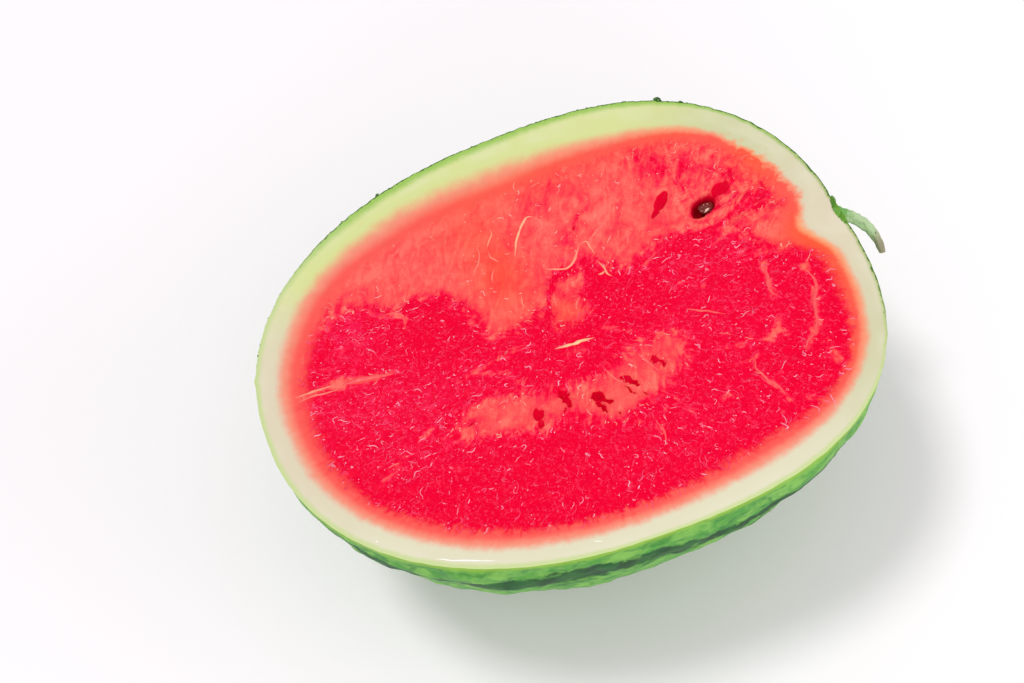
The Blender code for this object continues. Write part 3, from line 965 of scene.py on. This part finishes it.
def smoothPath(points, steps):
    # a curve through the points at even steps, each coordinate eased by a four-point weave
    points = np.asarray(points, float)
    points = np.concatenate([2 * points[:1] - points[1:2], points, 2 * points[-1:] - points[-2:-1]])
    spot = np.linspace(0, len(points) - 3 - 1e-9, steps)
    low = spot.astype(int)
    t = (spot - low)[:, None]
    before, start, end, after = (points[low + k] for k in range(4))
    return 0.5 * (2 * start + (end - before) * t + (2 * before - 5 * start + 4 * end - after) * t ** 2
                  + (3 * start - before - 3 * end + after) * t ** 3)


def strandMaterial(name, ends, middle):
    material, shader, place = startMaterial(name)
    tone = field(place, "tone") + (noise(place, 1.5, 2) - 0.5) * 0.3
    feed(shader, Base_Color=mix(tone, ends, middle), Roughness=0.35, Specular_IOR_Level=0.3)
    return material


def buildStrands(name, strands, material):
    # flat tubes that taper to both ends, with a small wobble, sunk nearly to half in the flesh
    steps, sides = strandPaint["steps"], strandPaint["sides"]
    tone, width, points = zip(*strands)
    paths = np.stack([smoothPath(each, steps) for each in points])
    paths += strandPaint["wobble"] * np.stack([ripple(paths, 7.0, 51), ripple(paths, 7.0, 52)], -1)
    along = np.linspace(0, 1, steps)
    fade = 1 - np.abs(2 * along - 1) ** 2.2
    radius = np.array(width)[:, None] * strandPaint["halfWidth"] * (0.12 + 0.88 * fade)
    radius = radius * (1 + 0.12 * ripple(paths, 4.0, 53))
    height = faceHeight(paths[..., 0], paths[..., 1]) + radius * 0.04
    points = tubePoints(np.concatenate([paths, height[..., None]], -1), radius, sides,
                        strandPaint["flat"])
    faces = tubes(len(strands), steps, sides)
    tone = np.array(tone)[:, None] * (0.25 + 0.75 * fade)
    makePiece(name, points.reshape(-1, 3), faces, [material],
              fields=dict(tone=np.repeat(tone.ravel(), sides)), sharp=180)


print("strands")
buildStrands("fleshStrands", strands, strandMaterial(
    "fleshStrand", strandPaint["pink"], strandPaint["straw"]))
buildStrands("glintBeads", glintLines, strandMaterial(
    "glintBead", fleshPaint["rindLight"], strandPaint["paintedGlint"]))


# crumbs: bits of torn skin along the far rim

crumb = dict(
    count=90, rings=5, sides=7, span=(30.0, 166.0), size=(0.35, 1.0), seed=8,
    # larger ones: angle, size and how far out
    nubs=[(48.4, 2.0, 0.8), (43.6, 1.3, 0.4), (117.0, 1.2, 0.5), (4.6, 1.7, 0.3)],
    green=colour(96, 150, 50), dark=colour(34, 84, 30), pale=colour(140, 192, 86),
)


def crumbMaterial():
    material, shader, place = startMaterial("skinCrumb")
    blotch = noise(place, 1.6, 3, 0.6)
    green = mix(ease(noise(place, 7.0, 2), 0.42, 0.6), crumb["dark"], crumb["green"])
    feed(shader, Base_Color=mix(ease(blotch, 0.52, 0.7), green, crumb["pale"]), Roughness=0.5)
    return material


def buildCrumbs():
    # small squashed balls with uneven surfaces, each set on the rim and stretched along it
    rng = np.random.default_rng(crumb["seed"])
    nubAngle, nubSize, nubOut = zip(*crumb["nubs"])
    angle = np.append(rng.uniform(*crumb["span"], crumb["count"]), nubAngle)
    size = crumb["size"][0] + np.diff(crumb["size"]) * rng.uniform(size=crumb["count"]) ** 3
    size = np.append(size, nubSize)
    out = np.append(rng.uniform(-0.25, 0.15, crumb["count"]), nubOut)
    polar = np.radians(angle) % (2 * np.pi)
    place, push = rimPlace(2 * np.pi * np.interp(polar, rim["angle"], rim["share"]))
    away = np.stack([np.cos(polar), np.sin(polar), 0 * polar], -1)
    along = np.stack([-np.sin(polar), np.cos(polar), 0 * polar], -1)
    middle = away * out[:, None]
    middle += np.column_stack([place + push, rng.uniform(-0.9, -0.35, angle.size)])
    lift = np.linspace(0.06, np.pi - 0.06, crumb["rings"])
    turn = np.arange(crumb["sides"]) * 2 * np.pi / crumb["sides"]
    ball = np.stack([
        -np.cos(lift)[:, None] * np.ones_like(turn),
        np.sin(lift)[:, None] * np.cos(turn), np.sin(lift)[:, None] * np.sin(turn)], -1)
    uneven = rng.uniform(0.75, 1.2, (angle.size, crumb["rings"], crumb["sides"], 1))
    local = ball * uneven * size[:, None, None, None] * (1.0, 0.55, 0.6)
    points = middle[:, None, None] + local[..., :1] * along[:, None, None]
    points = points + local[..., 1:2] * away[:, None, None] + local[..., 2:] * (0, 0, 1)
    faces = tubes(angle.size, crumb["rings"], crumb["sides"])
    makePiece("skinCrumbs", points.reshape(-1, 3), faces, [crumbMaterial()], sharp=60)


print("crumbs of skin")
buildCrumbs()


# seed: a flat drop, lying in the long pocket

seed = dict(
    x=78.3, y=30.1, z=-2.9, length=8.8, width=5.3, thickness=2.5, turn=26.0, lean=14.0, narrowing=0.28,
    # the light colour paints highlights on the coat
    rings=48, sides=56, dark=colour(84, 16, 18), mid=colour(150, 62, 54), light=colour(240, 206, 186),
    # painted highlights on its upper side: along and across it, half sizes, strength
    paintedShine=[(-1.9, -1.5, 1.7, 0.5, 1.0), (0.9, 0.5, 0.5, 0.7, 0.8), (-0.6, 1.2, 1.0, 0.4, 0.55)],
)


def seedMaterial():
    material, shader, place = startMaterial("seedCoat")
    streak = noise(place, 1.6, 4, 0.6, 1.2)
    coat = mix(ease(streak, 0.42, 0.62), seed["dark"], seed["mid"])
    # painted highlight: the light colour where the highlight patches, stirred by the streaks, are strong
    paintedShine = field(place, "paintedShine") + (streak - 0.5) * 1.2
    feed(shader, Base_Color=mix(ease(paintedShine, 0.40, 0.62), coat, seed["light"]),
         Roughness=0.14 + streak * 0.15, Normal=bump(streak, 0.6, 0.25))
    feed(shader, Specular_IOR_Level=0.25, Coat_Weight=0.15, Coat_Roughness=0.06)
    return material


def buildSeed():
    # rings along the seed: an ellipse whose sides draw in towards the tip, with a raised rim round its edge
    along = -np.cos(np.linspace(0, np.pi, seed["rings"]))
    turn = np.arange(seed["sides"]) * 2 * np.pi / seed["sides"]
    girth = np.sqrt(1 - along ** 2) * (1 - seed["narrowing"] * along)
    girth[[0, -1]] = 0.02
    edge = 1 + 0.10 * np.abs(np.cos(turn)) ** 12
    local = np.stack([
        np.repeat(along[:, None], seed["sides"], 1) * seed["length"] / 2,
        girth[:, None] * np.cos(turn) * edge * seed["width"] / 2,
        girth[:, None] * np.sin(turn) * seed["thickness"] / 2,
    ], -1)
    local[..., 2] += swell(local, 0.05, 2.2, 61)
    # painted highlights, on the upper side only
    paintedShine = patches(local[..., 0], local[..., 1], seed["paintedShine"]) * (local[..., 2] > 0)
    placing = Matrix.Rotation(np.radians(seed["turn"]), 3, "Z")
    placing = placing @ Matrix.Rotation(np.radians(seed["lean"]), 3, "Y")
    points = local @ np.array(placing).T + (seed["x"], seed["y"], seed["z"])
    faces = tubeFaces(1, seed["rings"], seed["sides"])[:, ::-1].tolist()
    faces += tubeCaps(1, seed["rings"], seed["sides"])[:, ::-1].tolist()
    piece = makePiece("seedCoat", points.reshape(-1, 3), faces, [seedMaterial()],
                      fields=dict(paintedShine=paintedShine.ravel()), sharp=180)
    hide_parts("seed")


print("seed")
buildSeed()


# stem: a drying stalk that curls down from the stem end

stem = dict(
    base=(125.9, 4.0, -4.5), out=(0.90, 0.08, -0.43), bend=(-0.08, -0.93, -0.35),
    arcRadius=16.8, arc=97.0,
    rootRadius=4.0, midRadius=2.4, tipRadius=1.35, rings=80, sides=40, ridges=5,
    fresh=colour(108, 172, 80), pale=colour(176, 204, 154), dry=colour(152, 146, 118),
    spot=colour(104, 104, 74),
)


def stemMaterial():
    material, shader, place = startMaterial("stemBark")
    along = field(place, "along")
    blotch = noise(place, 2.4, 3, 0.6)
    fine = noise(place, 0.7, 3, 0.6)
    body = mix(ease(along + (blotch - 0.5) * 0.5, 0.26, 0.02), stem["pale"], stem["fresh"])
    body = mix(ease(along + (blotch - 0.5) * 0.35, 0.60, 0.86), body, stem["dry"])
    body = mix(ease(noise(place, 2.0, 1), 0.68, 0.74), body, stem["spot"])
    feed(shader, Base_Color=mix(ease(fine, 0.55, 0.75) * 0.3, body, stem["spot"]), Roughness=0.62,
         Normal=bump(fine + blotch, 0.7, 0.25))
    feed(shader, Specular_IOR_Level=0.3)
    return material


def buildStem():
    # rings square to one arc; the radius flares at the root and shrinks to the dry tip, and low ridges
    # run along it
    share = np.linspace(-0.10, 1, stem["rings"])
    angle = np.radians(stem["arc"]) * share
    out = np.array(stem["out"]) / np.linalg.norm(stem["out"])
    bend = np.array(stem["bend"]) - np.dot(stem["bend"], out) * out
    bend /= np.linalg.norm(bend)
    path = np.array(stem["base"]) + stem["arcRadius"] * (
        np.sin(angle)[:, None] * out + (1 - np.cos(angle))[:, None] * bend)
    flare = (stem["rootRadius"] - stem["midRadius"]) * np.exp(-np.clip(share, 0, 1) / 0.10)
    shrink = (stem["midRadius"] - stem["tipRadius"]) * np.clip((share - 0.45) / 0.55, 0, 1) ** 1.2
    radius = stem["midRadius"] + flare - shrink
    radius *= 1 + 0.08 * np.sin(share * 30) * easeBetween(share, 0.6, 0.9)
    points = tubePoints(path[None], radius[None], stem["sides"])[0]
    turn = np.arange(stem["sides"]) * 2 * np.pi / stem["sides"]
    ridge = 0.06 * np.cos(stem["ridges"] * turn[None] + 1.5 * share[:, None])
    wrinkle = 0.05 * ripple(points, 3.0, 71)
    points += (points - path[:, None]) * (ridge + wrinkle)[..., None]
    faces = tubes(1, stem["rings"], stem["sides"])
    piece = makePiece("stemStalk", points.reshape(-1, 3), faces, [stemMaterial()],
                      fields=dict(along=np.repeat(share, stem["sides"])), sharp=60)
    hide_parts("stem")


print("stem")
buildStem()


# floor, light and camera

studio = dict(
    azimuth=-8.66, elevation=57.0, roll=-13.5, distance=650.0, target=(-20.7, 0.0, 0.0), lens=56.25,
    floor=(1.0, 0.97, 0.992, 1.0), floorHalf=12.0, world=0.63,
    # kind, place in metres, size (the sun's is its angle), power and colour
    lamps=dict(
        keyLight=("SUN", (-0.3, 0.2, 1.2), 0.25, 1.0, (1.0, 1.0, 1.0)),
        rightFill=("AREA", (1.5, -0.9, 0.6), 1.3, 9.0, (1.0, 0.86, 0.98)),
        frontFill=("AREA", (-0.3, -1.7, 0.5), 1.3, 9.0, (1.0, 0.86, 0.98)),
    ),
)


def buildStudio():
    material = bpy.data.materials.new("paleFloor")
    material.use_nodes = True
    feed(material.node_tree.nodes["Principled BSDF"], Base_Color=studio["floor"], Roughness=0.7,
         Specular_IOR_Level=0.1)
    mesh = bpy.data.meshes.new("paleFloor")
    half = studio["floorHalf"]
    corners = [(-half, -half, 0), (half, -half, 0), (half, half, 0), (-half, half, 0)]
    mesh.from_pydata(corners, [], [(0, 1, 2, 3)])
    mesh.materials.append(material)
    floor = bpy.data.objects.new("paleFloor", mesh)
    bpy.context.scene.collection.objects.link(floor)

    world = bpy.data.worlds.new("studioWorld")
    world.use_nodes = True
    feed(world.node_tree.nodes["Background"], Color=(1, 1, 1, 1), Strength=studio["world"])
    bpy.context.scene.world = world

    for name, (kind, place, size, power, tint) in studio["lamps"].items():
        light = bpy.data.lights.new(name, kind)
        setattr(light, "angle" if kind == "SUN" else "size", size)
        light.energy = power
        light.color = tint
        lamp = bpy.data.objects.new(name, light)
        lamp.location = place
        lamp.rotation_euler = (Vector((0, 0, 0.1)) - Vector(place)).to_track_quat("-Z", "Y").to_euler()
        bpy.context.scene.collection.objects.link(lamp)


def buildCamera():
    # the camera looks back along the ray given by azimuth and elevation, and is rolled about it
    azimuth, elevation, roll = (np.radians(studio[name]) for name in ("azimuth", "elevation", "roll"))
    ahead = np.array([-np.sin(azimuth), np.cos(azimuth), 0])
    back = np.array([0, 0, np.sin(elevation)]) - np.cos(elevation) * ahead
    level = np.array([np.cos(azimuth), np.sin(azimuth), 0])
    right = np.cos(roll) * level + np.sin(roll) * np.cross(back, level)
    placing = np.eye(4)
    placing[:3, :3] = np.stack([right, np.cross(back, right), back], 1)
    placing[:3, 3] = toFrame(np.array(studio["target"]) + studio["distance"] * back)
    camera = bpy.data.objects.new("camera", bpy.data.cameras.new("camera"))
    camera.data.lens = studio["lens"]
    camera.data.clip_end = 30
    camera.matrix_world = Matrix(placing.tolist())
    bpy.context.scene.collection.objects.link(camera)
    bpy.context.scene.camera = camera


print("studio")
buildStudio()
buildCamera()
bpy.context.scene.view_settings.view_transform = "Standard"
